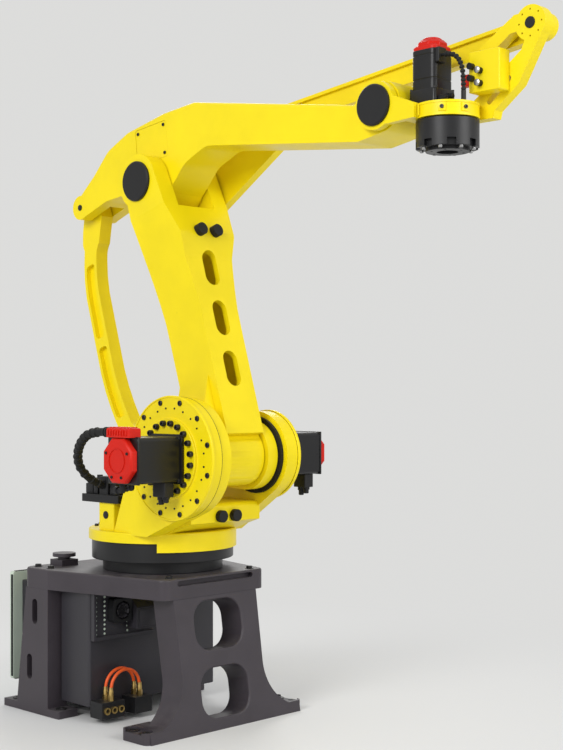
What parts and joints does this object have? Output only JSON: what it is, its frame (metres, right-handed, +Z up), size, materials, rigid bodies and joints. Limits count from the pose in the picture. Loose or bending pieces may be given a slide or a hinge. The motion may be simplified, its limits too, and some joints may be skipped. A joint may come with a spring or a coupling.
{
  "type": "palletising robot arm",
  "caption": "Parallel-link palletising robot arm: cast pedestal with controller, turntable, drive and levelling links, hollow arms, and a wrist whose round flange stays level.",
  "frame": {"origin": "floor level on the turning axis", "axes": "+X forward along the arm at rest, +Y to the side of the levelling links, +Z up"},
  "size_m": [2.6389, 1.129, 2.8199],
  "materials": {
    "black_metal": "satin black paint",
    "black_plastic": "matt",
    "black_rubber": "matt",
    "brass": "machined",
    "cabinet_grey": "satin dark grey paint on sheet",
    "door_green": "satin pale green-grey paint",
    "grey_casting": "satin dark grey paint on a casting",
    "motor_black": "satin black paint",
    "orange_hose": "semi-matt",
    "red_cap": "semi-gloss red",
    "steel": "machined",
    "yellow_casting": "semi-gloss yellow paint on a casting"
  },
  "bodies": {
    "pedestal": {"pedestal_slab": "grey_casting", "front_leg": "grey_casting", "rear_leg": "grey_casting", "controller_cabinet": "cabinet_grey", "controller_door": "door_green", "fan_box": "black_plastic", "junction_box": "cabinet_grey", "air_manifold": "black_metal", "turning_ring": "black_metal", "stop_bracket": "grey_casting", "vent_panel": "cabinet_grey", "valve_block": "black_metal", "hose_fittings": "brass", "rear_air_hose": "orange_hose", "front_air_hose": "orange_hose"},
    "turntable": {"turntable": "yellow_casting", "near_gear_disc": "yellow_casting", "near_motor": "motor_black", "near_motor_cap": "red_cap", "far_gear_disc": "yellow_casting", "far_motor": "motor_black", "far_motor_cap": "red_cap", "turntable_stops": "black_rubber", "connector_cover": "red_cap", "cable_plug": "black_metal", "connector_post": "yellow_casting", "terminal_block": "black_plastic", "motor_cable": "black_rubber", "far_seal_ring": "black_rubber", "motor_sockets": "black_plastic"},
    "lower_arm": {"lower_arm": "yellow_casting", "elbow_cap": "black_plastic", "arm_stops": "black_rubber"},
    "drive_crank": {"drive_crank": "yellow_casting"},
    "crank_pin": {"crank_pin": "steel"},
    "drive_link": {"drive_link": "yellow_casting"},
    "level_rocker": {"level_rocker": "yellow_casting"},
    "upper_level_link": {"upper_level_link": "yellow_casting"},
    "lower_level_link": {"lower_level_link": "yellow_casting"},
    "upper_arm": {"upper_arm": "yellow_casting", "arm_cover": "yellow_casting"},
    "wrist": {"wrist_housing": "yellow_casting", "wrist_cap": "black_plastic", "level_bracket": "yellow_casting", "wrist_motor": "motor_black", "wrist_motor_cap": "red_cap", "connector_box": "yellow_casting", "connector_ports": "black_plastic", "wrist_plug": "black_plastic", "cable_gland": "black_plastic", "wrist_cable": "black_rubber"},
    "tool_flange": {"tool_flange": "black_metal"}
  },
  "joints": [
    {"name": "turn_axis", "type": "hinge", "parent": "pedestal", "child": "turntable", "pos_m": [0, 0, 0.786], "axis": [0, 0, 1], "range_deg": [-180, 180]},
    {"name": "lower_arm_swing", "type": "hinge", "parent": "turntable", "child": "lower_arm", "pos_m": [0.41, 0, 1.16], "axis": [0, 1, 0], "range_deg": [-8, 54]},
    {"name": "rocker_level", "type": "hinge", "parent": "lower_arm", "child": "level_rocker", "pos_m": [0.04454, 0, 2.35538], "axis": [0, 1, 0], "range_deg": [-54, 8]},
    {"name": "upper_arm_swing", "type": "hinge", "parent": "level_rocker", "child": "upper_arm", "pos_m": [0.04454, 0, 2.35538], "axis": [0, 1, 0], "range_deg": [-6, 31]},
    {"name": "wrist_level", "type": "hinge", "parent": "upper_arm", "child": "wrist", "pos_m": [1.36599, 0, 2.50594], "axis": [0, 1, 0], "range_deg": [-31, 6]},
    {"name": "tool_turn", "type": "hinge", "parent": "wrist", "child": "tool_flange", "pos_m": [1.60599, 0, 2.436], "axis": [0, 0, 1], "range_deg": [-360, 360]},
    {"name": "upper_link_swing", "type": "hinge", "parent": "level_rocker", "child": "upper_level_link", "pos_m": [0.58954, 0, 2.60538], "axis": [0, 1, 0], "range_deg": [-6, 31]},
    {"name": "lower_link_swing", "type": "hinge", "parent": "turntable", "child": "lower_level_link", "pos_m": [0.15, 0, 1.16], "axis": [0, 1, 0], "range_deg": [-8, 54]},
    {"name": "crank_swing", "type": "hinge", "parent": "turntable", "child": "drive_crank", "pos_m": [0.41, 0, 1.16], "axis": [0, 1, 0], "range_deg": [-6, 31]},
    {"name": "crank_pin_turn", "type": "hinge", "parent": "drive_crank", "child": "crank_pin", "pos_m": [-0.11163, 0, 1.10057], "axis": [0, 1, 0], "range_deg": [-31, 6]},
    {"name": "drive_link_swing", "type": "hinge", "parent": "crank_pin", "child": "drive_link", "pos_m": [-0.11163, 0, 1.10057], "axis": [0, 1, 0], "range_deg": [-8, 54]}
  ],
  "couplings": [
    {"joint": "rocker_level", "follows": "lower_arm_swing", "ratio": -1},
    {"joint": "wrist_level", "follows": "upper_arm_swing", "ratio": -1},
    {"joint": "upper_link_swing", "follows": "upper_arm_swing", "ratio": 1},
    {"joint": "lower_link_swing", "follows": "lower_arm_swing", "ratio": 1},
    {"joint": "crank_swing", "follows": "upper_arm_swing", "ratio": 1},
    {"joint": "crank_pin_turn", "follows": "upper_arm_swing", "ratio": -1},
    {"joint": "drive_link_swing", "follows": "lower_arm_swing", "ratio": 1}
  ]
}
